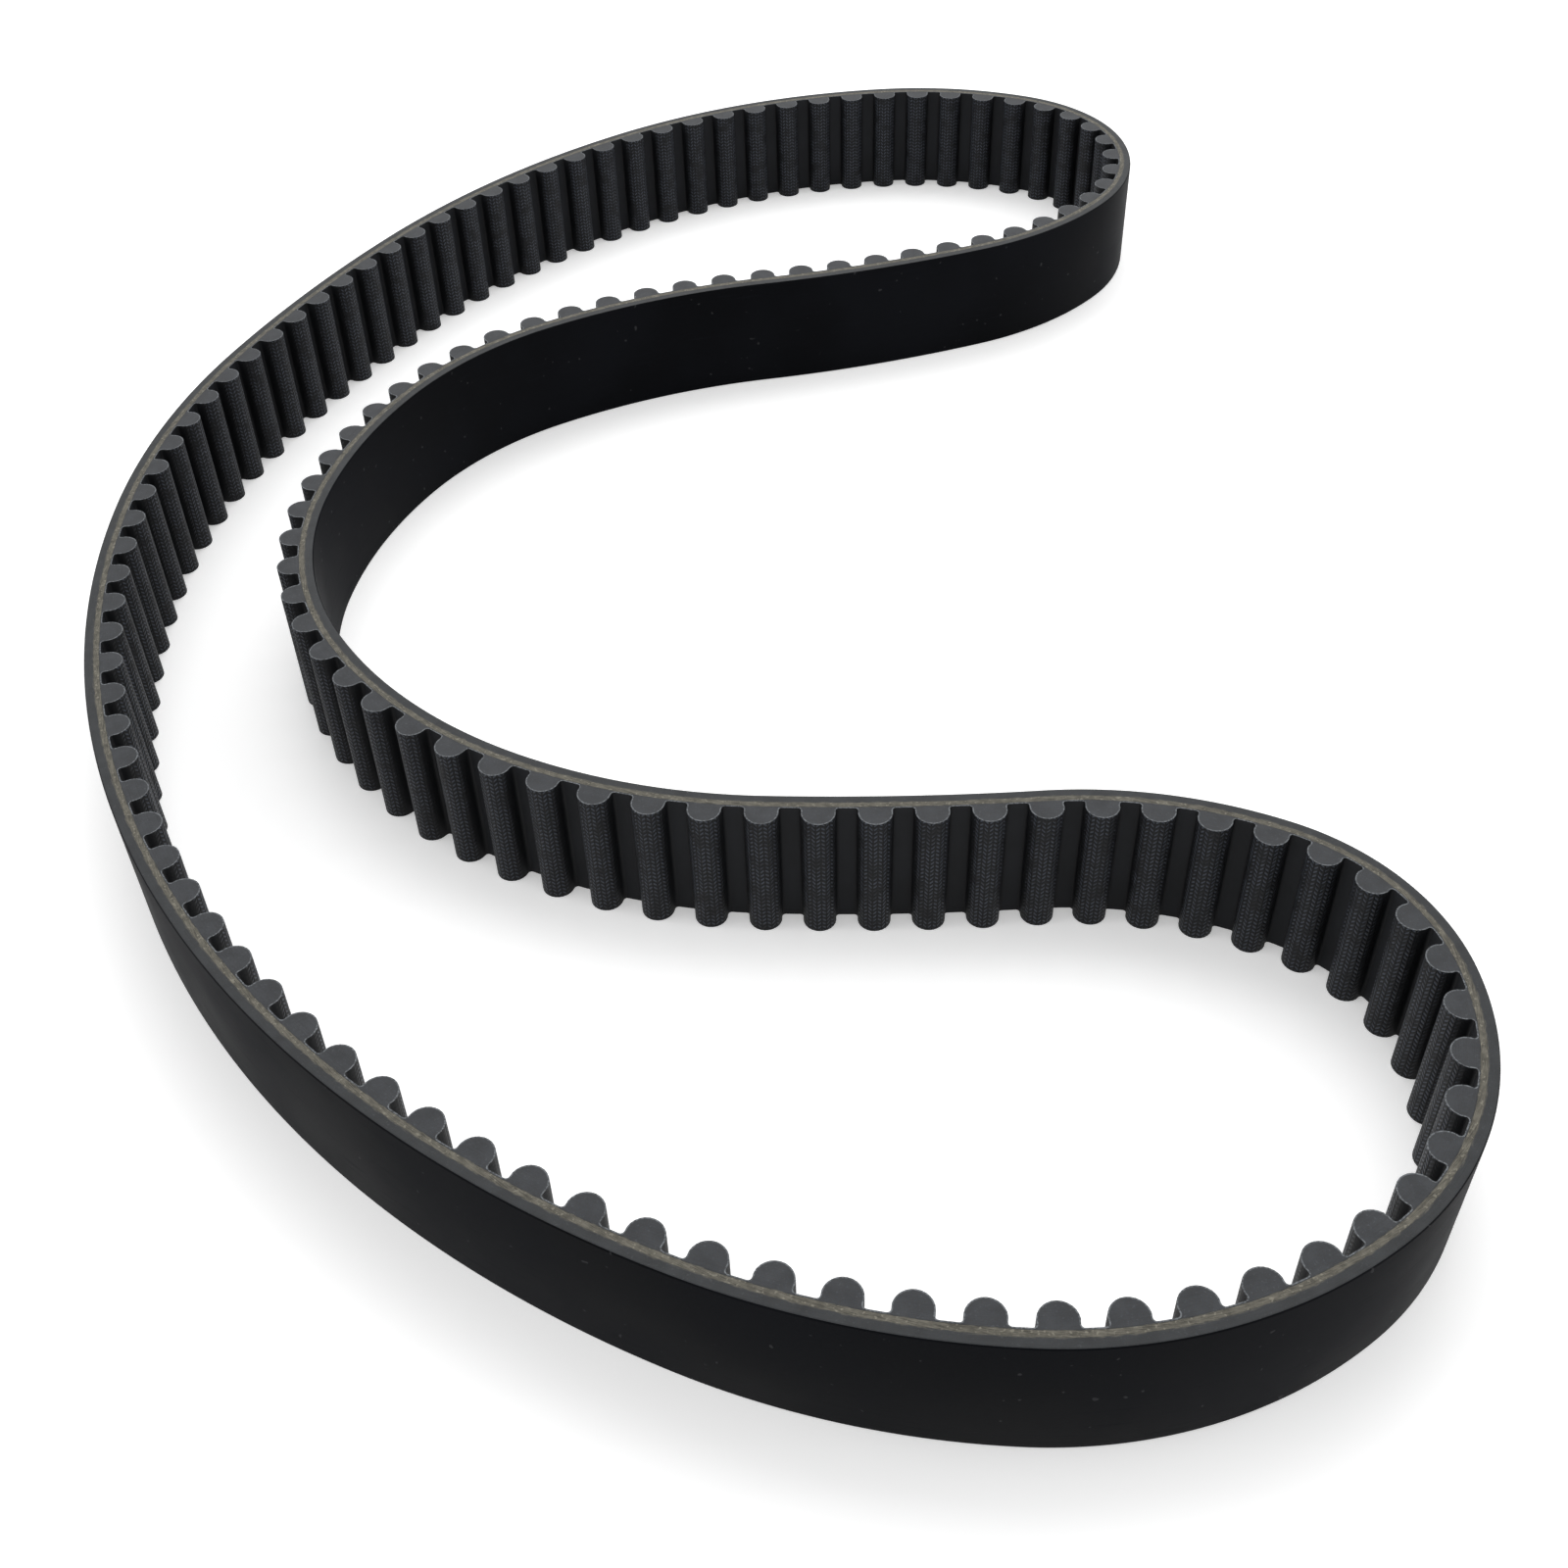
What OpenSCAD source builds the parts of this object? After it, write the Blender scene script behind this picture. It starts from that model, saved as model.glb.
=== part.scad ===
// Endless timing belt with rounded teeth on its inside, standing on one cut edge.
//
// The belt is one bonded moulding. It is drawn here as nine lengths that meet on lands,
// and each length holds the layers of the real belt as separate solids:
//   backing    smooth outer rubber
//   cord_bed   rubber that the tension cords are bedded in
//   cords      glass-fibre tension cords, two of them slit by the cut edges
//   teeth      tooth rubber, one solid for each tooth
//   facing     fabric over teeth and lands
// Neighbouring lengths turn about upright lines where the pitch line crosses the slit
// between them, which is where a belt bends: in a land, about its cords.

/* [Size] */
// Tooth pitch along the pitch line, mm
pitch = 8; // [7.5:0.1:14]
// Teeth on each of the nine lengths
length_teeth = 15; // [12:1:24]
// Width from cut edge to cut edge, mm
belt_w = 22; // [10:0.5:60]
// Thickness from the land to the smooth back, mm
body_t = 2.6; // [2.2:0.1:5]

/* [Teeth] */
// Height of a tooth over the land, mm
tooth_h = 3.4; // [2.8:0.1:4.2]
// Thickness of a tooth at its flanks, mm
tooth_w = 4.9; // [3.6:0.1:5.8]
// Radius between a flank and the land, mm
root_r = 0.5; // [0.3:0.05:0.8]

/* [Fabric and cords] */
// Thickness of the fabric facing, mm
facing_t = 0.18; // [0.12:0.01:0.22]
// Diameter of a tension cord, mm
cord_d = 0.85; // [0.5:0.05:0.88]
// Spacing of the cords across the belt, at most, mm
cord_step = 1.3; // [1:0.05:3]
// Depth of a slit cord's centre under the cut edge, mm
slit_cord_z = 0.15; // [0:0.05:0.4]
// Height of the cord centres, which is the pitch line, over the land, mm
pitch_line = 0.69; // [0.68:0.01:1.2]

/* [Fits] */
// Glue line between bonded layers, mm
bond = 0.01; // [0.01:0.01:0.03]
// Rubber left between a cord and the edge of its bed, mm
cord_wall = 0.05; // [0.04:0.01:0.2]
// Slit between two lengths, which lets them turn, mm
flex_slit = 0.25; // [0.15:0.01:0.6]
// How far the arcs of a cord and its bed stop short of each other, mm
arc_break = 0.01; // [0.01:0.01:0.05]

/* [Hidden] */
// Round shapes are exact solids; this only sets how they look here
$fn = 96;
// Facets of one cord's outline
cord_fn = 40;
// Steps round the tip of a tooth, along one land and along the base of a tooth
tip_steps = 8;
land_steps = 2;
base_steps = 4;
// Steps of the backing along one tooth pitch
back_steps = 8;
// The root radius starts at this angle, so that the tooth rubber ends in no knife edge
root_start = 25;
root_steps = 2;
// Height in which a tooth stops following the bend of the belt
bend_fade = 1;

lengths = 9;
teeth_total = lengths * length_teeth;

// How the belt lies: points of the pitch line in mm, and the heading there in degrees.
// It runs clockwise from the middle of the outer bend, round the rear lobe, back along the
// inner bend and round the front lobe, and is scaled so that the whole number of teeth fits.
lay = [
    [-99,    0, -270], // middle of the outer bend
    [-65,   97, -303], // rear strand
    [ 42,  164,    3], // back of the rear lobe
    [ 93,  132,  -83], // tip of the rear lobe
    [ 58,   85, -160], // front of the rear lobe
    [-31,   58, -150], // into the inner bend
    [-66,    2,  -98], // middle of the inner bend
    [-27,  -69,  -29], // out of the inner bend
    [ 50,  -81,    2], // back of the front lobe
    [ 99, -115,  -87], // tip of the front lobe
    [ 38, -164, -185], // front of the front lobe
    [-37, -131, -219], // front strand
];

// Height over the land, h, turns into distance outside the pitch line, u
function over_land(h) = -pitch_line - h;
bed_in = over_land(-facing_t) + bond;
bed_out = cord_d / 2 + bond + cord_wall;
back_in = bed_out + bond;
back_out = over_land(-body_t);

tip_r = tooth_w / 2;
tip_h = tooth_h - tip_r;
// Half the foot of a tooth, where its root radius meets the land
foot = sqrt(pow(tip_r + root_r, 2) - pow(tip_h - root_r, 2));
// Slope of the line from the tip's centre to the root radius' centre
root_slope = asin((tip_h - root_r) / (tip_r + root_r));

cord_gaps = ceil((belt_w - 2 * slit_cord_z) / cord_step);
cord_pitch = (belt_w - 2 * slit_cord_z) / cord_gaps;

// ---------------------------------------------------------------- pitch line

function unit(h) = [cos(h), sin(h)];
function left(h) = [-sin(h), cos(h)];

// Point where two tangent arcs meet between p at heading a and q at heading b
function arcs_meet(p, a, q, b) =
    let (v = q - p)
    let (t = unit(a) + unit(b))
    let (c = 2 - 2 * unit(a) * unit(b))
    let (d = (sqrt(pow(v * t, 2) + c * v * v) - v * t) / c)
    (p + q + d * (unit(a) - unit(b))) / 2;

// An arc is [start, heading, turn, length]
function arc_to(p, a, q) =
    let (v = q - p)
    let (turn = 2 * atan2(cross(unit(a), v), unit(a) * v))
    [p, a, turn, norm(v) * (turn / 2) * (PI / 180) / sin(turn / 2)];

function point(i) = [lay[i][0], lay[i][1]];
function both_arcs(i) =
    let (j = (i + 1) % len(lay))
    let (m = arcs_meet(point(i), lay[i][2], point(j), lay[j][2]))
    let (first = arc_to(point(i), lay[i][2], m))
    [first, arc_to(m, lay[i][2] + first[2], point(j))];

raw = [for (i = [0 : len(lay) - 1]) each both_arcs(i)];
raw_length = sum_of([for (a = raw) a[3]]);
grow = teeth_total * pitch / raw_length;
arcs = [for (a = raw) [a[0] * grow, a[1], a[2], a[3] * grow]];
starts = [for (i = 0, s = 0; i < len(arcs); s = s + arcs[i][3], i = i + 1) s];

function sum_of(v, i = 0) = i < len(v) ? v[i] + sum_of(v, i + 1) : 0;

// Signed radius, positive where the belt turns left, which is away from its teeth
function radius(a) = a[3] / (a[2] * PI / 180);

function along(a, d) =
    let (h = a[1] + a[2] * d / a[3])
    [a[0] + (left(a[1]) - left(h)) * radius(a), h];

// Point and heading of the pitch line at distance s from its start
function pitch_at(s) =
    let (w = s - teeth_total * pitch * floor(s / (teeth_total * pitch)))
    let (i = max([for (j = [0 : len(arcs) - 1]) if (starts[j] <= w) j]))
    along(arcs[i], w - starts[i]);

// Place at distance s along and u outside the pitch line
function place(s, u) = let (q = pitch_at(s)) q[0] + left(q[1]) * u;

// Place on a tooth, x along and h over the land: the foot follows the bend of the belt,
// the rest keeps its moulded shape
function tooth_place(s, x, h) =
    let (f = min(1, max(0, (h + facing_t) / bend_fade)))
    let (q = pitch_at(s))
    (1 - f) * place(s + x, over_land(h))
    + f * (q[0] + unit(q[1]) * x + left(q[1]) * over_land(h));

// The outline's middle goes to the origin
rim = [for (s = [0 : 1 : teeth_total * pitch]) place(s, back_out)];
rim_x = [for (p = rim) p[0]];
rim_y = [for (p = rim) p[1]];
middle = [max(rim_x) + min(rim_x), max(rim_y) + min(rim_y)] / 2;

// ---------------------------------------------------------------- outlines

// Half a tooth's outline as [x, h], from the foot up to the tip, t inside the outer face
function half_tooth(t) =
    let (foot_r = root_r + t)
    let (round_r = tip_r - t)
    concat(
        [for (i = [0 : root_steps])
            let (a = root_start + (90 - root_slope - root_start) * i / root_steps)
            [foot - foot_r * sin(a), root_r - foot_r * cos(a)]],
        [for (i = [1 : tip_steps / 2])
            let (a = -root_slope + (90 + root_slope) * i / (tip_steps / 2))
            [round_r * cos(a), tip_h + round_r * sin(a)]]
    );

// The whole outline, run from one foot to the other
function tooth_outline(t) =
    let (half = half_tooth(t))
    concat(
        [for (p = half) [-p[0], p[1]]],
        [for (i = [len(half) - 2 : -1 : 0]) half[i]]
    );

function tooth_middle(n) = (n + 0.5) * pitch;
function first_tooth(k) = k * length_teeth;
function length_start(k) = k * length_teeth * pitch + flex_slit / 2;
function length_end(k) = (k + 1) * length_teeth * pitch - flex_slit / 2;

// Land from tooth n - 1 to tooth n, kept inside the length k
function land(n, k, h, reach) =
    let (from = max(length_start(k), tooth_middle(n - 1) + reach))
    let (to = min(length_end(k), tooth_middle(n) - reach))
    [for (i = [0 : land_steps]) place(from + (to - from) * i / land_steps, over_land(h))];

// One face of the facing along length k: t = 0 is the face that meets the pulley
function facing_face(k, t) = [
    for (n = [first_tooth(k) : first_tooth(k + 1)])
        each concat(
            land(n, k, -t, t == 0 ? foot : half_tooth(t)[0][0]),
            n < first_tooth(k + 1)
                ? [for (p = tooth_outline(t)) tooth_place(tooth_middle(n), p[0], p[1])]
                : []
        )
];

// ---------------------------------------------------------------- shapes

// Sweeps an outline drawn in [u, z] along length k, arc by arc
module sweep(k) {
    for (i = [0 : len(arcs) - 1]) {
        from = max(length_start(k), starts[i]);
        to = min(length_end(k), starts[i] + arcs[i][3] - arc_break);
        if (to > from) arc_sweep(arcs[i], from - starts[i], to - starts[i]) children();
    }
}

module arc_sweep(a, from, to) {
    r = radius(a);
    side = r > 0 ? -90 : 90;
    h1 = a[1] + a[2] * from / a[3] + side;
    h2 = a[1] + a[2] * to / a[3] + side;
    translate(a[0] + left(a[1]) * r)
        rotate_extrude(angle = abs(h2 - h1), start = min(h1, h2))
            translate([abs(r), 0])
                if (r > 0) mirror([1, 0]) children();
                else children();
}

module cord_section(grown) {
    intersection() {
        translate([-cord_d, 0]) square([2 * cord_d, belt_w]);
        for (i = [0 : cord_gaps])
            translate([0, slit_cord_z + i * cord_pitch])
                circle(d = cord_d + 2 * grown, $fn = cord_fn);
    }
}

module backing(k) {
    steps = back_steps * length_teeth;
    step = (length_end(k) - length_start(k)) / steps;
    color([0.10, 0.10, 0.11])
        linear_extrude(belt_w)
            polygon(concat(
                [for (i = [0 : steps]) place(length_start(k) + i * step, back_in)],
                [for (i = [steps : -1 : 0]) place(length_start(k) + i * step, back_out)]
            ));
}

module cord_bed(k) {
    color([0.30, 0.31, 0.33])
        sweep(k)
            difference() {
                translate([bed_in, 0]) square([bed_out - bed_in, belt_w]);
                cord_section(bond);
            }
}

module cords(k) {
    color([0.62, 0.59, 0.52])
        sweep(k) cord_section(0);
}

module teeth(k) {
    color([0.34, 0.35, 0.37])
        linear_extrude(belt_w)
            for (n = [first_tooth(k) : first_tooth(k + 1) - 1])
                tooth_section(tooth_middle(n));
}

module tooth_section(s) {
    reach = half_tooth(facing_t)[0][0];
    outline = [for (p = tooth_outline(facing_t)) tooth_place(s, p[0], p[1])];
    base = [for (i = [1 : base_steps - 1]) place(s - reach * (1 - 2 * i / base_steps),
                                                 over_land(-facing_t))];
    ends = [for (x = [-reach, reach]) place(s + x, over_land(-facing_t))];
    polygon(concat([ends[0]], outline, [ends[1]], [for (i = [len(base) - 1 : -1 : 0]) base[i]]));
}

module facing(k) {
    outer = facing_face(k, 0);
    inner = facing_face(k, facing_t);
    color([0.07, 0.07, 0.08])
        linear_extrude(belt_w)
            polygon(concat(outer, [for (i = [len(inner) - 1 : -1 : 0]) inner[i]]));
}

module centred() {
    translate([-middle[0], -middle[1], 0]) children();
}

// ---------------------------------------------------------------- nodes

// The nine lengths, clockwise from the middle of the outer bend:
//   0  outer_bend_rear
//   1  rear_strand
//   2  rear_lobe
//   3  rear_inner_strand
//   4  inner_bend
//   5  front_inner_strand
//   6  front_lobe
//   7  front_strand
//   8  outer_bend_front

module backing_outer_bend_rear() { centred() backing(0); }
module backing_rear_strand() { centred() backing(1); }
module backing_rear_lobe() { centred() backing(2); }
module backing_rear_inner_strand() { centred() backing(3); }
module backing_inner_bend() { centred() backing(4); }
module backing_front_inner_strand() { centred() backing(5); }
module backing_front_lobe() { centred() backing(6); }
module backing_front_strand() { centred() backing(7); }
module backing_outer_bend_front() { centred() backing(8); }

module cord_bed_outer_bend_rear() { centred() cord_bed(0); }
module cord_bed_rear_strand() { centred() cord_bed(1); }
module cord_bed_rear_lobe() { centred() cord_bed(2); }
module cord_bed_rear_inner_strand() { centred() cord_bed(3); }
module cord_bed_inner_bend() { centred() cord_bed(4); }
module cord_bed_front_inner_strand() { centred() cord_bed(5); }
module cord_bed_front_lobe() { centred() cord_bed(6); }
module cord_bed_front_strand() { centred() cord_bed(7); }
module cord_bed_outer_bend_front() { centred() cord_bed(8); }

module cords_outer_bend_rear() { centred() cords(0); }
module cords_rear_strand() { centred() cords(1); }
module cords_rear_lobe() { centred() cords(2); }
module cords_rear_inner_strand() { centred() cords(3); }
module cords_inner_bend() { centred() cords(4); }
module cords_front_inner_strand() { centred() cords(5); }
module cords_front_lobe() { centred() cords(6); }
module cords_front_strand() { centred() cords(7); }
module cords_outer_bend_front() { centred() cords(8); }

module teeth_outer_bend_rear() { centred() teeth(0); }
module teeth_rear_strand() { centred() teeth(1); }
module teeth_rear_lobe() { centred() teeth(2); }
module teeth_rear_inner_strand() { centred() teeth(3); }
module teeth_inner_bend() { centred() teeth(4); }
module teeth_front_inner_strand() { centred() teeth(5); }
module teeth_front_lobe() { centred() teeth(6); }
module teeth_front_strand() { centred() teeth(7); }
module teeth_outer_bend_front() { centred() teeth(8); }

module facing_outer_bend_rear() { centred() facing(0); }
module facing_rear_strand() { centred() facing(1); }
module facing_rear_lobe() { centred() facing(2); }
module facing_rear_inner_strand() { centred() facing(3); }
module facing_inner_bend() { centred() facing(4); }
module facing_front_inner_strand() { centred() facing(5); }
module facing_front_lobe() { centred() facing(6); }
module facing_front_strand() { centred() facing(7); }
module facing_outer_bend_front() { centred() facing(8); }

backing_outer_bend_rear();
backing_rear_strand();
backing_rear_lobe();
backing_rear_inner_strand();
backing_inner_bend();
backing_front_inner_strand();
backing_front_lobe();
backing_front_strand();
backing_outer_bend_front();

cord_bed_outer_bend_rear();
cord_bed_rear_strand();
cord_bed_rear_lobe();
cord_bed_rear_inner_strand();
cord_bed_inner_bend();
cord_bed_front_inner_strand();
cord_bed_front_lobe();
cord_bed_front_strand();
cord_bed_outer_bend_front();

cords_outer_bend_rear();
cords_rear_strand();
cords_rear_lobe();
cords_rear_inner_strand();
cords_inner_bend();
cords_front_inner_strand();
cords_front_lobe();
cords_front_strand();
cords_outer_bend_front();

teeth_outer_bend_rear();
teeth_rear_strand();
teeth_rear_lobe();
teeth_rear_inner_strand();
teeth_inner_bend();
teeth_front_inner_strand();
teeth_front_lobe();
teeth_front_strand();
teeth_outer_bend_front();

facing_outer_bend_rear();
facing_rear_strand();
facing_rear_lobe();
facing_rear_inner_strand();
facing_inner_bend();
facing_front_inner_strand();
facing_front_lobe();
facing_front_strand();
facing_outer_bend_front();
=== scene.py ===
import math

import bmesh
import bpy
from bpy.props import FloatProperty, FloatVectorProperty, IntProperty, PointerProperty
from mathutils import Matrix, Vector


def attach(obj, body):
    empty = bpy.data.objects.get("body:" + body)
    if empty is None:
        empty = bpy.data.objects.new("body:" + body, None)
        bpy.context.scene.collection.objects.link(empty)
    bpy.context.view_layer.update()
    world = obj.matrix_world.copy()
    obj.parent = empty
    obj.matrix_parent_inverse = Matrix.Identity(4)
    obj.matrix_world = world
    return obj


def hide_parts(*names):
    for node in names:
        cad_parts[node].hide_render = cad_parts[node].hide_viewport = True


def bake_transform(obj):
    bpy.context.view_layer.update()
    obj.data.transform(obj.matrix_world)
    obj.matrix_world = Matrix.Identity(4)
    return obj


bl_info = {
    "name": "Timing belt",
    "version": (1, 0, 0),
    "blender": (4, 2, 0),
    "location": "View3D > Sidebar > Timing belt",
    "description": "Endless rubber timing belt with glass cords and woven facing",
    "category": "Object",
}

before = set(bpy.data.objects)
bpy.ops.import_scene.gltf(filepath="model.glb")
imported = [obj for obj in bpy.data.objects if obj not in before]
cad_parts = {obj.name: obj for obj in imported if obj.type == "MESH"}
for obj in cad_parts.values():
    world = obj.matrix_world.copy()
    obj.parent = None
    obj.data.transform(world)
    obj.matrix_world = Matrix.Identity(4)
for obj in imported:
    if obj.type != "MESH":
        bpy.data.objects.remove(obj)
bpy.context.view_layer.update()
MM = 0.001

# The nine lengths of the CAD part, clockwise from the middle of the outer bend
LENGTHS = (
    "outer_bend_rear", "rear_strand", "rear_lobe",
    "rear_inner_strand", "inner_bend", "front_inner_strand",
    "front_lobe", "front_strand", "outer_bend_front",
)
# How the belt lies: points of the pitch line in mm and the heading there in degrees
LAY = (
    (-99, 0, -270), (-65, 97, -303), (42, 164, 3), (93, 132, -83),
    (58, 85, -160), (-31, 58, -150), (-66, 2, -98), (-27, -69, -29),
    (50, -81, 2), (99, -115, -87), (38, -164, -185), (-37, -131, -219),
)
# The belt pieces here change over in the middle of a length, at this tooth of it
SPLIT_TOOTH = 7
# Reach along the pitch line either side of a span's hinge; the two points there are worked out and
# not used
BLEND_REACH = 20 * MM
# Height over which a tooth stops following the bend of the belt
BEND_FADE = 1 * MM
# Steps of a band along one pitch
BAND_STEPS = 8
# Steps round a root, a tooth tip, a slit cord
ROOT_STEPS, TIP_STEPS, CORD_STEPS = 4, 14, 12
# The facing's weave on the teeth: width of a column and spacing of its picks
WEAVE_COLUMN, WEAVE_PICK = 0.72 * MM, 0.78 * MM
# The tooth rubber starts this far round its root radius, in degrees
ROOT_START = 25


def srgb(red, green, blue):
    """A colour from 0 to 255 as the linear values that shaders use."""
    def channel(value):
        part = value / 255
        return part / 12.92 if part <= 0.04045 else ((part + 0.055) / 1.055) ** 2.4
    return tuple(channel(value) for value in (red, green, blue))


def length_size(name, description, millimetres, low, high):
    """A length that a user may change."""
    return FloatProperty(
        name=name, description=description, default=millimetres * MM,
        min=low * MM, max=high * MM, precision=5, subtype="DISTANCE", unit="LENGTH")


def finish_colour(name, description, red, green, blue):
    """A colour that a user may change."""
    return FloatVectorProperty(
        name=name, description=description, default=srgb(red, green, blue),
        min=0, max=1, size=3, subtype="COLOR")


class BeltSizes(bpy.types.PropertyGroup):
    """Sizes of the belt."""
    pitch: length_size("Tooth pitch", "Pitch of the teeth along the cords", 8, 7.5, 14)
    length_teeth: IntProperty(
        name="Teeth per length", description="Teeth on each of the nine lengths",
        default=15, min=12, max=24)
    width: length_size("Width", "From cut edge to cut edge", 22, 10, 60)
    body: length_size("Body thickness", "From the land to the smooth back", 2.6, 2.2, 5)
    tooth_height: length_size("Tooth height", "Height of a tooth over the land", 3.4, 2.8, 4.2)
    tooth_width: length_size("Tooth thickness", "Across the flanks of a tooth", 4.9, 3.6, 5.8)
    root_radius: length_size("Root radius", "Between a flank and the land", 0.5, 0.3, 0.8)
    facing: length_size("Facing thickness", "Thickness of the woven facing", 0.18, 0.12, 0.22)
    cord: length_size("Cord diameter", "Diameter of a tension cord", 0.85, 0.5, 0.88)
    slit_depth: length_size(
        "Slit cord depth", "Centre of a slit cord under the cut edge", 0.15, 0, 0.4)
    pitch_line: length_size(
        "Pitch line", "Height of the cord centres over the land", 0.69, 0.68, 1.2)
    cord_wall: length_size("Cord wall", "Rubber between a cord and its bed's edge", 0.05, 0.04, 0.2)
    bond: length_size("Glue line", "Gap between bonded layers", 0.01, 0.01, 0.03)
    back_round: length_size("Back rounding", "Rounding of the back's two edges", 0.3, 0.05, 0.5)


class BeltColours(bpy.types.PropertyGroup):
    """Colours of the belt."""
    back: finish_colour("Back", "Smooth back of the belt", 10, 11, 14)
    cut: finish_colour("Cut edge", "Rubber where the belt was cut to width", 39, 41, 43)
    cord: finish_colour("Cord", "Glass cords slit by the cut edges", 96, 93, 84)
    tooth: finish_colour("Tooth section", "Tooth rubber at the cut edges", 45, 47, 50)
    fabric: finish_colour("Facing", "Woven facing over teeth and lands", 20, 22, 26)
    fabric_cut: finish_colour("Facing edge", "Cut edge of the facing", 94, 97, 100)


# ---------------------------------------------------------------- the pitch line

def unit(heading):
    turn = math.radians(heading)
    return Vector((math.cos(turn), math.sin(turn)))


def left(heading):
    return unit(heading + 90)


def arcs_meet(p, a, q, b):
    """Point where two tangent arcs meet between p at heading a and q at heading b."""
    v, both = q - p, unit(a) + unit(b)
    c = 2 - 2 * unit(a).dot(unit(b))
    d = (math.sqrt(v.dot(both) ** 2 + c * v.dot(v)) - v.dot(both)) / c
    return (p + q + d * (unit(a) - unit(b))) / 2


def arc_to(p, a, q):
    """The arc from p at heading a to q, as its start, heading, turn and length."""
    v = q - p
    turn = 2 * math.degrees(math.atan2(unit(a).cross(v), unit(a).dot(v)))
    half = math.radians(turn / 2)
    return p, a, turn, v.length * half / math.sin(half)


class PitchLine:
    """The closed line of the cords, a chain of tangent arcs, centred like the CAD part."""

    def __init__(self, sizes):
        self.pitch = sizes.pitch
        self.total = sizes.pitch * sizes.length_teeth * len(LENGTHS)
        self.arcs = []
        for here, after in zip(LAY, LAY[1:] + LAY[:1]):
            p, q = Vector(here[:2]), Vector(after[:2])
            first = arc_to(p, here[2], arcs_meet(p, here[2], q, after[2]))
            second = arc_to(arcs_meet(p, here[2], q, after[2]), here[2] + first[2], q)
            self.arcs += [first, second]
        grow = self.total / sum(arc[3] for arc in self.arcs)
        self.arcs = [(arc[0] * grow, arc[1], arc[2], arc[3] * grow) for arc in self.arcs]
        self.starts = [sum(arc[3] for arc in self.arcs[:i]) for i in range(len(self.arcs))]
        self.middle = Vector((0, 0))
        back = sizes.body - sizes.pitch_line
        rim = [self.place(s * MM, back) for s in range(round(self.total / MM) + 1)]
        self.middle = Vector([
            (max(p[axis] for p in rim) + min(p[axis] for p in rim)) / 2 for axis in (0, 1)])

    def at(self, s):
        """Point and heading of the pitch line at the distance s."""
        w = s % self.total
        i = max(j for j, start in enumerate(self.starts) if start <= w)
        p, a, turn, length = self.arcs[i]
        heading = a + turn * (w - self.starts[i]) / length
        radius = length / math.radians(turn)
        return p + (left(a) - left(heading)) * radius - self.middle, heading

    def place(self, s, u):
        """Point at s along and u outside the pitch line."""
        p, heading = self.at(s)
        return p + left(heading) * u

    def tooth_place(self, s, u, sizes):
        """As place, but the upper part of a tooth keeps its moulded shape."""
        height = -sizes.pitch_line - u
        stiff = min(1, max(0, height / BEND_FADE))
        bent = self.place(s, u)
        if stiff == 0:
            return bent
        centre = (math.floor(s / self.pitch) + 0.5) * self.pitch
        p, heading = self.at(centre)
        moulded = p + unit(heading) * (s - centre) + left(heading) * u
        return bent.lerp(moulded, stiff)


# ---------------------------------------------------------------- shapes

class Outline:
    """A chain of vertices in a plane of a bmesh, drawn with lines and arcs."""

    def __init__(self, bm, start, axis):
        self.bm, self.axis = bm, Vector(axis)
        self.last = bm.verts.new(start)
        self.verts = [self.last]
        self.edges = []

    def line(self, end):
        new = bmesh.ops.extrude_vert_indiv(self.bm, verts=[self.last])
        self.last = new["verts"][0]
        self.last.co = end
        self.verts.append(self.last)
        self.edges += new["edges"]

    def arc(self, centre, degrees, steps):
        for _ in range(steps):
            new = bmesh.ops.spin(
                self.bm, geom=[self.last], cent=centre, axis=self.axis, dvec=(0, 0, 0),
                angle=math.radians(degrees / steps), steps=1, use_merge=False,
                use_normal_flip=False, use_duplicate=False)
            self.last = [g for g in new["geom_last"] if isinstance(g, bmesh.types.BMVert)][0]
            self.verts.append(self.last)
            self.edges.append(self.last.link_edges[0])

    def fill(self):
        """Closes the chain with a face."""
        return self.bm.faces.new(self.verts)


def extrude(bm, faces, way, steps=1):
    """Pulls faces out into a solid, cut into steps."""
    new = bmesh.ops.extrude_face_region(bm, geom=faces)["geom"]
    moved = [g for g in new if isinstance(g, bmesh.types.BMVert)]
    bmesh.ops.translate(bm, verts=moved, vec=way)
    if steps > 1:
        way = Vector(way)
        long = [e for e in bm.edges
                if abs((e.verts[1].co - e.verts[0].co).dot(way)) > 0.9 * way.length_squared]
        bmesh.ops.subdivide_edges(bm, edges=long, cuts=steps - 1, use_grid_fill=True)


def tooth_marks(sizes, inset):
    """What a tooth outline is drawn from, inset from the outer face of the facing."""
    tip = sizes.tooth_width / 2
    tip_height = sizes.tooth_height - tip
    spread = tip + sizes.root_radius
    lift = tip_height - sizes.root_radius
    foot = math.sqrt(spread ** 2 - lift ** 2)
    lean = math.degrees(math.asin(lift / spread))
    return foot, lean, tip_height, sizes.root_radius + inset


def wave(outline, sizes, inset, middle, start=0):
    """Draws one tooth: root, tip and root, from one foot to the other."""
    foot, lean, tip_height, root = tooth_marks(sizes, inset)
    base = -sizes.pitch_line

    def centre(x, height):
        return middle + x, base - height, 0
    outline.arc(centre(-foot, sizes.root_radius), start - 90 - lean, ROOT_STEPS)
    outline.arc(centre(0, tip_height), 180 + 2 * lean, TIP_STEPS)
    outline.arc(centre(foot, sizes.root_radius), start - 90 - lean, ROOT_STEPS)


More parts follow.
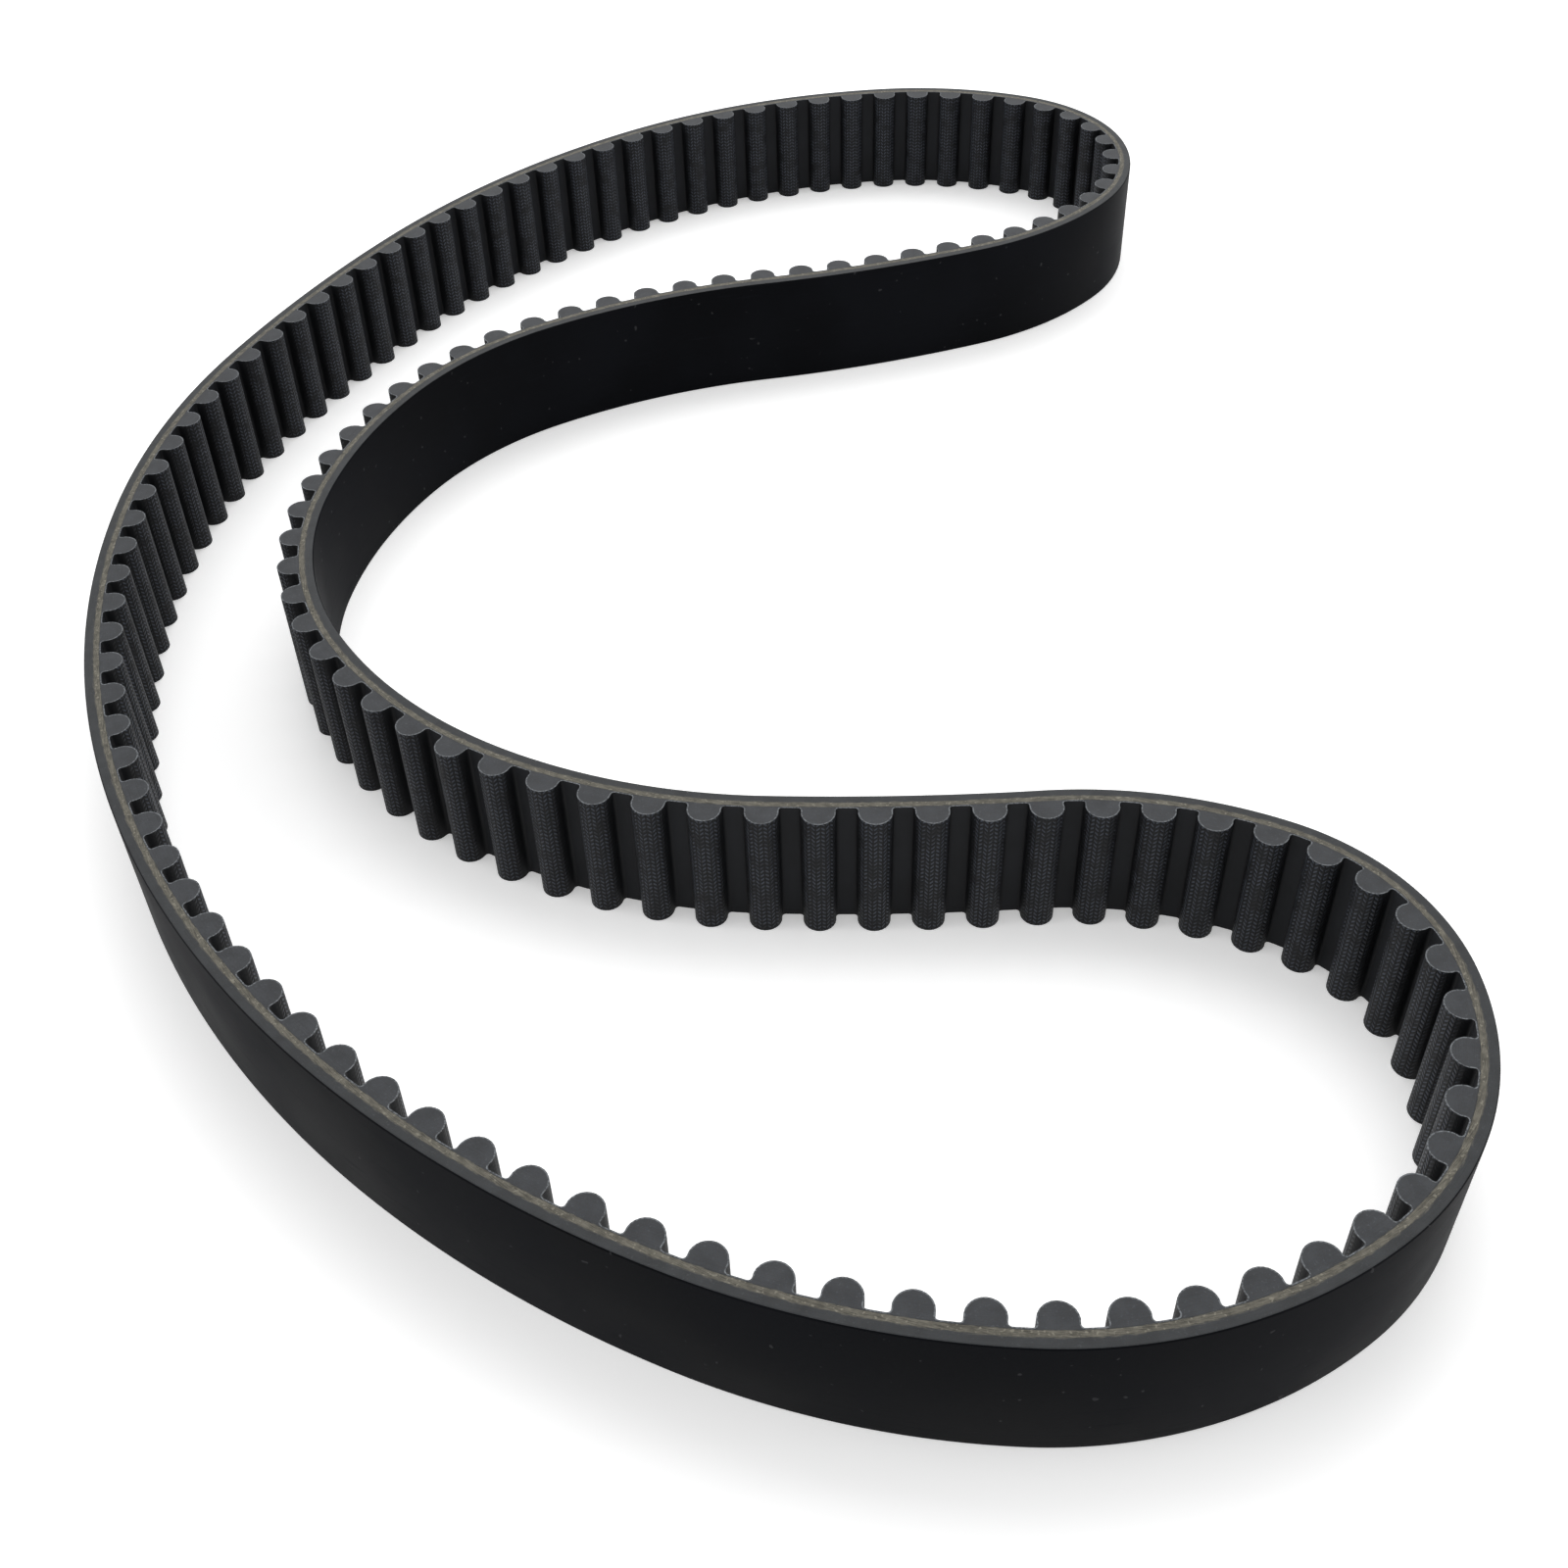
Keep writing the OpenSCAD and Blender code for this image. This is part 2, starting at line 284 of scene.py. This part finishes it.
def belt_mesh(bm, name, line, sizes, finishes, moulded):
    """Names the faces' finishes and UVs on the straight belt, then lays it on its line."""
    bmesh.ops.remove_doubles(bm, verts=bm.verts, dist=0.001 * MM)
    bmesh.ops.recalc_face_normals(bm, faces=bm.faces)
    uv = bm.loops.layers.uv.new("belt")
    run = bm.verts.layers.float.get("run")
    pitch_run = bm.verts.layers.float.get("pitch_run")
    bm.normal_update()
    for face in bm.faces:
        cut = abs(face.normal.z) > 0.9
        end = abs(face.normal.x) > 0.999 and not moulded
        face.material_index = 1 if cut or end else 0
        face.smooth = not cut
        around = 0
        if run:
            length = face.verts[0][pitch_run]
            middle = sum(v[run] for v in face.verts) / len(face.verts)
            around = (math.floor(middle / length) + 0.5) * length
        for loop in face.loops:
            s, u, z = loop.vert.co
            if cut:
                loop[uv].uv = (s, u)
            elif run:
                loop[uv].uv = (loop.vert[run] - around, z)
            else:
                loop[uv].uv = (s, z)
    for edge in bm.edges:
        edge.smooth = edge.calc_face_angle(0) < math.radians(40)
    for vert in bm.verts:
        s, u, z = vert.co
        p = line.tooth_place(s, u, sizes) if moulded else line.place(s, u)
        vert.co = (p.x, p.y, z)
    bmesh.ops.recalc_face_normals(bm, faces=bm.faces)
    mesh = bpy.data.meshes.new(name)
    bm.to_mesh(mesh)
    bm.free()
    for finish in finishes:
        mesh.materials.append(finish)
    piece = bpy.data.objects.new(name, mesh)
    bpy.context.scene.collection.objects.link(piece)
    return piece


def spans(sizes):
    """Each piece of a layer: its name, first tooth, tooth after its last, and hinge."""
    n, last = sizes.length_teeth, len(LENGTHS)
    yield "seam_rear", 0, SPLIT_TOOTH, None
    for k in range(1, last):
        yield f"hinge_{k}", n * (k - 1) + SPLIT_TOOTH, n * k + SPLIT_TOOTH, k
    yield "seam_front", n * (last - 1) + SPLIT_TOOTH, n * last, None


def hold(piece, layer, span, line, sizes):
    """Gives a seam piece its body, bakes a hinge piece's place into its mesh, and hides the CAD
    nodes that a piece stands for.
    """
    name, _, _, hinge = span
    if hinge is None:
        body = LENGTHS[0] if name == "seam_rear" else LENGTHS[-1]
        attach(piece, body)
        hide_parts(f"{layer}_{body}")
    else:
        before, after = LENGTHS[hinge - 1], LENGTHS[hinge]
        p, heading = line.at(hinge * sizes.length_teeth * sizes.pitch)
        reach = unit(heading) * BLEND_REACH
        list(p - reach)
        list(p + reach)
        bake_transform(piece)
        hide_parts(f"{layer}_{before}", f"{layer}_{after}")


def layer_pieces(layer, draw, finishes, moulded):
    """Makes one layer of the belt, piece by piece."""
    sizes = bpy.context.scene.belt_sizes
    line = PitchLine(sizes)
    for span in spans(sizes):
        bm = bmesh.new()
        draw(bm, sizes, span[1], span[2])
        piece = belt_mesh(bm, f"{layer}_{span[0]}", line, sizes, finishes, moulded)
        hold(piece, layer, span, line, sizes)


def bed_edges(sizes):
    """Inner and outer face of the cord bed, outside the pitch line."""
    inner = sizes.facing - sizes.pitch_line + sizes.bond
    return inner, sizes.cord / 2 + sizes.bond + sizes.cord_wall


def draw_backing(bm, sizes, first, last):
    start = first * sizes.pitch
    inner, outer = bed_edges(sizes)[1], sizes.body - sizes.pitch_line
    section = Outline(bm, (start, inner, 0), (1, 0, 0))
    for u, z in ((outer, 0), (outer, sizes.width), (inner, sizes.width)):
        section.line((start, u, z))
    extrude(bm, [section.fill()], ((last - first) * sizes.pitch, 0, 0))
    rims = [e for e in bm.edges
            if abs(e.verts[0].co.x - e.verts[1].co.x) > sizes.pitch
            and e.verts[0].co.y > outer - sizes.bond]
    bmesh.ops.bevel(
        bm, geom=rims, offset=sizes.back_round, offset_type="OFFSET", segments=3,
        profile=0.5, affect="EDGES", material=-1)
    long = [e for e in bm.edges if abs(e.verts[0].co.x - e.verts[1].co.x) > sizes.pitch]
    bmesh.ops.subdivide_edges(
        bm, edges=long, cuts=(last - first) * BAND_STEPS - 1, use_grid_fill=True)


def slit(sizes, grown):
    """Radius of a slit cord or its groove, half its slit face, and the angle round it."""
    radius = sizes.cord / 2 + grown
    half = math.sqrt(radius ** 2 - sizes.slit_depth ** 2)
    return radius, half, 360 - 2 * math.degrees(math.acos(sizes.slit_depth / radius))


def draw_cord_bed(bm, sizes, first, last):
    start = first * sizes.pitch
    inner, outer = bed_edges(sizes)
    _, half, angle = slit(sizes, sizes.bond)
    section = Outline(bm, (start, inner, 0), (1, 0, 0))
    section.line((start, -half, 0))
    section.arc((start, 0, sizes.slit_depth), -angle, CORD_STEPS)
    section.line((start, outer, 0))
    section.line((start, outer, sizes.width))
    section.line((start, half, sizes.width))
    section.arc((start, 0, sizes.width - sizes.slit_depth), -angle, CORD_STEPS)
    section.line((start, inner, sizes.width))
    extrude(bm, [section.fill()], ((last - first) * sizes.pitch, 0, 0),
            (last - first) * BAND_STEPS)


def draw_cords(bm, sizes, first, last):
    start = first * sizes.pitch
    _, half, angle = slit(sizes, 0)
    faces = []
    for edge, way in ((0, 1), (sizes.width, -1)):
        section = Outline(bm, (start, -half * way, edge), (1, 0, 0))
        section.arc((start, 0, edge + way * sizes.slit_depth), -angle, CORD_STEPS)
        faces.append(section.fill())
    extrude(bm, faces, ((last - first) * sizes.pitch, 0, 0), (last - first) * BAND_STEPS)


def draw_teeth(bm, sizes, first, last):
    foot, _, _, root = tooth_marks(sizes, sizes.facing)
    reach = foot - root * math.sin(math.radians(ROOT_START))
    top = root * math.cos(math.radians(ROOT_START)) - sizes.root_radius
    base = sizes.facing - sizes.pitch_line
    faces = []
    for n in range(first, last):
        middle = (n + 0.5) * sizes.pitch
        tooth = Outline(bm, (middle - reach, top - sizes.pitch_line, 0), (0, 0, 1))
        wave(tooth, sizes, sizes.facing, middle, ROOT_START)
        for x in (reach, reach / 2, 0, -reach / 2, -reach):
            tooth.line((middle + x, base, 0))
        faces.append(tooth.fill())
    extrude(bm, faces, (0, 0, sizes.width))


def draw_facing(bm, sizes, first, last):
    run = bm.verts.layers.float.new("run")
    pitch_run = bm.verts.layers.float.new("pitch_run")
    foot = tooth_marks(sizes, 0)[0]
    chains = []
    for inset in (0, sizes.facing):
        land = inset - sizes.pitch_line
        chain = Outline(bm, (first * sizes.pitch, land, 0), (0, 0, 1))
        for n in range(first, last):
            middle = (n + 0.5) * sizes.pitch
            chain.line((middle - foot, land, 0))
            wave(chain, sizes, inset, middle)
            chain.line((middle + foot + (sizes.pitch / 2 - foot) / 2, land, 0))
            chain.line((middle + sizes.pitch / 2, land, 0))
        chains.append(chain)
    lengths = [0]
    for a, b in zip(chains[0].verts, chains[0].verts[1:]):
        lengths.append(lengths[-1] + (b.co - a.co).length)
    for chain in chains:
        for vert, length in zip(chain.verts, lengths):
            vert[run] = length
            vert[pitch_run] = lengths[-1] / (last - first)
    faces = bmesh.ops.bridge_loops(bm, edges=chains[0].edges + chains[1].edges)["faces"]
    extrude(bm, faces, (0, 0, sizes.width))


# ---------------------------------------------------------------- finishes

class Wire:
    """A shader socket that Python's arithmetic works on."""

    def __init__(self, tree, socket):
        self.tree, self.socket = tree, socket

    def math(self, operation, *values):
        return self.make("ShaderNodeMath", {"operation": operation}, dict(enumerate(values)))

    def __add__(self, other):
        return self.math("ADD", self, other)

    def __radd__(self, other):
        return self.math("ADD", other, self)

    def __sub__(self, other):
        return self.math("SUBTRACT", self, other)

    def __rsub__(self, other):
        return self.math("SUBTRACT", other, self)

    def __mul__(self, other):
        return self.math("MULTIPLY", self, other)

    def __rmul__(self, other):
        return self.math("MULTIPLY", other, self)

    def __truediv__(self, other):
        return self.math("DIVIDE", self, other)

    def __abs__(self):
        return self.math("ABSOLUTE", self)

    def make(self, kind, settings, values, output=0):
        return make(self.tree, kind, settings, values, output)


def make(tree, kind, settings, values, output=0):
    """Adds a node from its type, settings and the values or links of its sockets."""
    node = tree.nodes.new(kind)
    for name, value in settings.items():
        setattr(node, name, value)
    for key, value in values.items():
        if isinstance(value, Wire):
            tree.links.new(value.socket, node.inputs[key])
        else:
            node.inputs[key].default_value = value
    return Wire(tree, node.outputs[output])


class Finish:
    """A material of the belt and the patterns it is made from."""

    def __init__(self, name, roughness, specular):
        self.material = bpy.data.materials.new(name)
        self.material.use_nodes = True
        self.tree = self.material.node_tree
        self.shader = self.tree.nodes["Principled BSDF"]
        self.shader.inputs["Roughness"].default_value = roughness
        self.shader.inputs["Specular IOR Level"].default_value = specular
        self.object = make(self.tree, "ShaderNodeTexCoord", {}, {}, "Object")
        self.belt = make(self.tree, "ShaderNodeUVMap", {"uv_map": "belt"}, {})

    def axes(self, vector):
        return [make(self.tree, "ShaderNodeSeparateXYZ", {}, {0: vector}, i) for i in range(3)]

    def scaled(self, vector, factors):
        return make(self.tree, "ShaderNodeVectorMath", {"operation": "MULTIPLY"},
                    {0: vector, 1: factors})

    def noise(self, vector, scale, detail=2.0, rough=0.5):
        return make(self.tree, "ShaderNodeTexNoise", {}, {
            "Vector": vector, "Scale": scale, "Detail": detail, "Roughness": rough})

    def ramp(self, value, low, high, out_low=0.0, out_high=1.0):
        return make(self.tree, "ShaderNodeMapRange", {"interpolation_type": "SMOOTHSTEP"}, {
            "Value": value, "From Min": low, "From Max": high,
            "To Min": out_low, "To Max": out_high})

    def mix(self, factor, a, b):
        return make(self.tree, "ShaderNodeMix", {"data_type": "RGBA"},
                    {0: factor, 6: rgba(a), 7: rgba(b)}, 2)

    def bump(self, height, distance, strength=1.0, after=None):
        values = {"Height": height, "Distance": distance, "Strength": strength}
        if after:
            values["Normal"] = after
        return make(self.tree, "ShaderNodeBump", {}, values)

    def set(self, name, value):
        self.tree.links.new(value.socket, self.shader.inputs[name])


def rgba(colour):
    """A plain colour with its alpha; a wire as it is."""
    return colour if isinstance(colour, Wire) else (*colour, 1)


def shade(colour, factor):
    """A colour made lighter or darker."""
    return tuple(min(1, channel * factor) for channel in colour)


def back_rubber():
    """Moulded black rubber with a fine grain, handling marks and a little dust."""
    colour = tuple(bpy.context.scene.belt_colours.back)
    finish = Finish("back_rubber", 0.52, 0.025)
    cloud = finish.noise(finish.object, 38, 3)
    grain = finish.noise(finish.object, 5200, 2, 0.6)
    rub = finish.noise(finish.scaled(finish.belt, (90, 1500, 1)), 1, 4, 0.65)
    marks = finish.ramp(rub, 0.56, 0.74)
    dust = finish.ramp(finish.noise(finish.object, 780, 1), 0.745, 0.79)
    base = finish.mix(finish.ramp(cloud, 0.35, 0.68), shade(colour, 0.85), shade(colour, 1.45))
    base = finish.mix(marks * 0.4, base, shade(colour, 2.4))
    base = finish.mix(dust * 0.3, base, srgb(80, 80, 82))
    finish.set("Base Color", base)
    finish.set("Roughness", finish.ramp(cloud, 0.3, 0.7, 0.46, 0.58) + marks * 0.08)
    finish.set("Normal", finish.bump(grain, 0.02 * MM, 0.5,
                                     finish.bump(rub, 0.012 * MM, 0.4)))
    return finish.material


def cut_rubber(name, colour, banded):
    """Rubber cut with a blade: mottled, with fine lines along the cut and stray cord dust."""
    colours = bpy.context.scene.belt_colours
    finish = Finish(name, 0.62, 0.3)
    colour, cord = tuple(colour), tuple(colours.cord)
    mottle = finish.noise(finish.object, 2600, 3, 0.65)
    patch = finish.noise(finish.object, 420, 2)
    lines = finish.noise(finish.scaled(finish.belt, (160, 14000, 1)), 1, 3, 0.6)
    tone = mottle * 0.5 + patch * 0.25 + lines * 0.25
    base = finish.mix(finish.ramp(tone, 0.36, 0.64), shade(colour, 0.62), shade(colour, 1.5))
    specks = finish.ramp(finish.noise(finish.object, 3300, 1), 0.66, 0.74)
    base = finish.mix(specks * 0.45, base, shade(colour, 2.6))
    if banded:
        out = finish.axes(finish.belt)[1] * (1 / MM)
        fray = finish.noise(finish.scaled(finish.belt, (700, 2600, 1)), 1, 3, 0.6) - 0.5
        ragged = out + fray * 0.9
        band = finish.ramp(ragged, -0.5, -0.35) * finish.ramp(ragged, 0.62, 0.3)
        fibre = finish.noise(finish.scaled(finish.belt, (500, 16000, 1)), 1, 3, 0.7)
        glass = finish.mix(finish.ramp(fibre, 0.36, 0.66), shade(cord, 0.5), shade(cord, 1.35))
        base = finish.mix(band * 0.75, base, glass)
    finish.set("Base Color", base)
    finish.set("Roughness", finish.ramp(mottle, 0.3, 0.7, 0.55, 0.75))
    finish.set("Normal", finish.bump(tone, 0.05 * MM, 0.6))
    return finish.material


def glass_cord():
    """Slit glass cord: matt fibres along the belt with a slow twist."""
    colour = tuple(bpy.context.scene.belt_colours.cord)
    finish = Finish("glass_cord", 0.7, 0.25)
    along, out, _ = finish.axes(finish.belt)
    twist = out * 9000 + along * 1400
    strand = make(finish.tree, "ShaderNodeCombineXYZ", {}, {0: twist, 1: along * 320})
    fibre = finish.noise(strand, 1, 3, 0.65)
    fine = finish.noise(finish.scaled(finish.belt, (500, 16000, 1)), 1, 3, 0.7)
    soil = finish.noise(finish.object, 900, 3, 0.6)
    tone = fibre * 0.4 + fine * 0.35 + soil * 0.25
    base = finish.mix(finish.ramp(tone, 0.38, 0.62), shade(colour, 0.35), shade(colour, 1.35))
    sparks = finish.ramp(finish.noise(finish.object, 2100, 1), 0.6, 0.7)
    base = finish.mix(sparks * 0.6, base, shade(colour, 2.1))
    finish.set("Base Color", base)
    finish.set("Normal", finish.bump(tone, 0.08 * MM, 0.8))
    return finish.material


def woven_facing():
    """Rubber-soaked fabric: slanted picks in columns on the teeth, pressed flat on the lands, with
    painted highlights on the raised threads and painted shade on the crests and flanks.
    """
    colour = tuple(bpy.context.scene.belt_colours.fabric)
    finish = Finish("woven_facing", 0.58, 0.22)
    around, width, _ = finish.axes(finish.belt)
    column = around * (1 / WEAVE_COLUMN) + 0.5
    inside = column.math("FRACT", column)
    other = column.math("MODULO", column.math("FLOOR", column), 2.0)
    slant = (abs(other) * 2 - 1) * (inside - 0.5)
    pick = width * (1 / WEAVE_PICK) + slant * 0.8
    thread = abs(pick.math("FRACT", pick) - 0.5) * 2
    rib = 1 - abs(inside - 0.5) * 2
    crest = finish.ramp(abs(around) * (1 / MM), 3.9, 2.2)
    uneven = finish.noise(finish.object, 420, 2)
    # Raised threads of the weave on the crest: a real bump and gloss, and also the mask of a
    # painted highlight
    thread_relief_and_highlight = thread * finish.ramp(rib, 0.0, 0.55) * crest * finish.ramp(uneven, 0.25, 0.6, 0.5, 1)
    grain = finish.noise(finish.object, 4200, 2, 0.6)
    cloud = finish.noise(finish.object, 120, 3)
    base = finish.mix(finish.ramp(cloud, 0.35, 0.65), shade(colour, 0.85), shade(colour, 1.2))
    # Painted shade: the flanks of each tooth are darkened in the colour, standing in for the shade
    # that falls on them
    past_crest = abs(around) * (1 / MM)
    flank = finish.ramp(past_crest, 2.2, 3.2) * finish.ramp(past_crest, 5.4, 4.7)
    base = finish.mix(flank * 0.75, base, shade(colour, 0.35))
    # Painted shade: the crest of each tooth is darkened in the colour, between and under its
    # threads
    base = finish.mix(crest * 0.7, base, shade(colour, 0.3))
    # Painted highlight: the raised threads of the weave are painted bright, standing in for the
    # light they catch
    base = finish.mix(finish.ramp(thread_relief_and_highlight, 0.35, 0.8), base, shade(colour, 7.5))
    finish.set("Base Color", base)
    finish.set("Roughness", 0.62 - thread_relief_and_highlight * 0.14)
    finish.set("Normal", finish.bump(thread_relief_and_highlight, 0.12 * MM, 1.0,
                                     finish.bump(grain, 0.02 * MM, 0.5)))
    return finish.material


def facing_edge():
    """Cut edge of the facing: a pale line of thread ends."""
    colour = tuple(bpy.context.scene.belt_colours.fabric_cut)
    finish = Finish("facing_edge", 0.7, 0.2)
    ends = finish.noise(finish.object, 3600, 2, 0.6)
    base = finish.mix(finish.ramp(ends, 0.38, 0.62), shade(colour, 0.5), shade(colour, 1.5))
    finish.set("Base Color", base)
    finish.set("Normal", finish.bump(ends, 0.05 * MM, 0.6))
    return finish.material


# ---------------------------------------------------------------- operators

class BELT_OT_backing(bpy.types.Operator):
    """Smooth outer rubber of the belt"""
    bl_idname = "belt.backing"
    bl_label = "Backing"

    def execute(self, context):
        colours = context.scene.belt_colours
        layer_pieces("backing", draw_backing,
                     (back_rubber(), cut_rubber("backing_cut", colours.cut, True)), False)
        return {"FINISHED"}


class BELT_OT_cord_bed(bpy.types.Operator):
    """Rubber that the tension cords are bedded in"""
    bl_idname = "belt.cord_bed"
    bl_label = "Cord bed"

    def execute(self, context):
        finish = cut_rubber("cord_bed_cut", context.scene.belt_colours.cut, True)
        layer_pieces("cord_bed", draw_cord_bed, (finish, finish), False)
        return {"FINISHED"}


class BELT_OT_cords(bpy.types.Operator):
    """The two glass cords that the cut edges slit open"""
    bl_idname = "belt.cords"
    bl_label = "Cords"

    def execute(self, context):
        finish = glass_cord()
        layer_pieces("cords", draw_cords, (finish, finish), False)
        return {"FINISHED"}


class BELT_OT_teeth(bpy.types.Operator):
    """Rubber cores of the teeth"""
    bl_idname = "belt.teeth"
    bl_label = "Teeth"

    def execute(self, context):
        finish = cut_rubber("tooth_cut", context.scene.belt_colours.tooth, False)
        layer_pieces("teeth", draw_teeth, (finish, finish), True)
        return {"FINISHED"}


class BELT_OT_facing(bpy.types.Operator):
    """Woven facing over teeth and lands"""
    bl_idname = "belt.facing"
    bl_label = "Facing"

    def execute(self, context):
        layer_pieces("facing", draw_facing,
                     (woven_facing(), facing_edge()), True)
        return {"FINISHED"}


# The camera, in the row frame: place, tilt below level, roll, and lens on a 36 mm sensor
CAMERA_AT = (13.2 * MM, -266.4 * MM, 200.7 * MM)
CAMERA_TILT, CAMERA_ROLL, CAMERA_LENS = 43.20, -1.94, 41.93
SKY, BACKDROP, FLOOR_GLOW = 0.6, 1.0, 0.32
FLOOR_SIZE = 8.0
# Each lamp: name, place, size and power in watts; all point at the belt
LAMPS = (
    ("rear_softbox", (0.1, 0.9, 1.3), 1.3, 15.0),
    ("left_softbox", (-1.2, -0.1, 0.75), 0.9, 4.0),
    ("right_softbox", (1.2, 0.1, 0.75), 0.9, 4.0),
)


def seen_directly(tree):
    """1 where the camera sees a thing, straight or in a gloss, and 0 where it only lights."""
    seen = [make(tree, "ShaderNodeLightPath", {}, {}, name)
            for name in ("Is Camera Ray", "Is Glossy Ray", "Is Transmission Ray")]
    return seen[0] + seen[1] + seen[2]


class BELT_OT_stage(bpy.types.Operator):
    """Floor, sky, lamps and camera"""
    bl_idname = "belt.stage"
    bl_label = "Stage"

    def execute(self, context):
        scene = context.scene
        scene.view_settings.view_transform = "Standard"
        self.floor(scene)
        self.sky(scene)
        for name, place, size, power in LAMPS:
            lamp = bpy.data.lights.new(name, "AREA")
            lamp.shape, lamp.size, lamp.energy = "SQUARE", size, power
            self.put(scene, name, lamp, Matrix.Translation(place)
                     @ (-Vector(place)).to_track_quat("-Z", "Y").to_matrix().to_4x4())
        self.camera(scene)
        return {"FINISHED"}

    def put(self, scene, name, data, matrix):
        thing = bpy.data.objects.new(name, data)
        thing.matrix_world = matrix
        scene.collection.objects.link(thing)
        return thing

    def floor(self, scene):
        bm = bmesh.new()
        bmesh.ops.create_grid(bm, x_segments=1, y_segments=1, size=FLOOR_SIZE / 2)
        mesh = bpy.data.meshes.new("floor")
        bm.to_mesh(mesh)
        bm.free()
        finish = bpy.data.materials.new("floor_white")
        finish.use_nodes = True
        tree = finish.node_tree
        shader = tree.nodes["Principled BSDF"]
        shader.inputs["Base Color"].default_value = (0.97, 0.97, 0.97, 1)
        shader.inputs["Roughness"].default_value = 1
        shader.inputs["Specular IOR Level"].default_value = 0
        glow = make(tree, "ShaderNodeMix", {"data_type": "RGBA"},
                    {0: seen_directly(tree), 6: (0, 0, 0, 1), 7: (1, 1, 1, 1)}, 2)
        shader.inputs["Emission Strength"].default_value = FLOOR_GLOW
        tree.links.new(glow.socket, shader.inputs["Emission Color"])
        mesh.materials.append(finish)
        self.put(scene, "floor", mesh, Matrix.Identity(4))

    def sky(self, scene):
        scene.world = bpy.data.worlds.new("sky")
        scene.world.use_nodes = True
        tree = scene.world.node_tree
        white = (1, 1, 1, 1)
        factor = seen_directly(tree)
        lighting = make(tree, "ShaderNodeBackground", {}, {"Color": white, "Strength": SKY})
        shown = make(tree, "ShaderNodeBackground", {}, {"Color": white, "Strength": BACKDROP})
        sky = make(tree, "ShaderNodeMixShader", {}, {0: factor, 1: lighting, 2: shown})
        tree.links.new(sky.socket, tree.nodes["World Output"].inputs["Surface"])

    def camera(self, scene):
        tilt, roll = math.radians(CAMERA_TILT), math.radians(CAMERA_ROLL)
        right, up = Vector((1, 0, 0)), Vector((0, math.sin(tilt), math.cos(tilt)))
        back = right.cross(up)
        rolled = (math.cos(roll) * right + math.sin(roll) * up,
                  math.cos(roll) * up - math.sin(roll) * right, back)
        data = bpy.data.cameras.new("camera")
        data.lens, data.sensor_width = CAMERA_LENS, 36
        data.clip_start, data.clip_end = 0.01, 30
        turn = Matrix(rolled).transposed().to_4x4()
        scene.camera = self.put(scene, "camera", data, Matrix.Translation(CAMERA_AT) @ turn)


class BELT_PT_panel(bpy.types.Panel):
    """Sizes, colours and pieces of the timing belt"""
    bl_idname = "BELT_PT_panel"
    bl_label = "Timing belt"
    bl_space_type = "VIEW_3D"
    bl_region_type = "UI"
    bl_category = "Timing belt"

    def draw(self, context):
        for group in (context.scene.belt_sizes, context.scene.belt_colours):
            box = self.layout.box()
            for name in group.__annotations__:
                box.prop(group, name)
        for operator in OPERATORS:
            self.layout.operator(operator.bl_idname)


OPERATORS = (
    BELT_OT_stage, BELT_OT_backing, BELT_OT_cord_bed, BELT_OT_cords,
    BELT_OT_teeth, BELT_OT_facing,
)
CLASSES = (BeltSizes, BeltColours, *OPERATORS, BELT_PT_panel)


def register():
    for cls in CLASSES:
        bpy.utils.register_class(cls)
    bpy.types.Scene.belt_sizes = PointerProperty(type=BeltSizes)
    bpy.types.Scene.belt_colours = PointerProperty(type=BeltColours)


def unregister():
    del bpy.types.Scene.belt_colours
    del bpy.types.Scene.belt_sizes
    for cls in reversed(CLASSES):
        bpy.utils.unregister_class(cls)


def main():
    register()
    bpy.ops.belt.stage()
    bpy.ops.belt.backing()
    bpy.ops.belt.cord_bed()
    bpy.ops.belt.cords()
    bpy.ops.belt.teeth()
    bpy.ops.belt.facing()


if __name__ == "__main__":
    main()
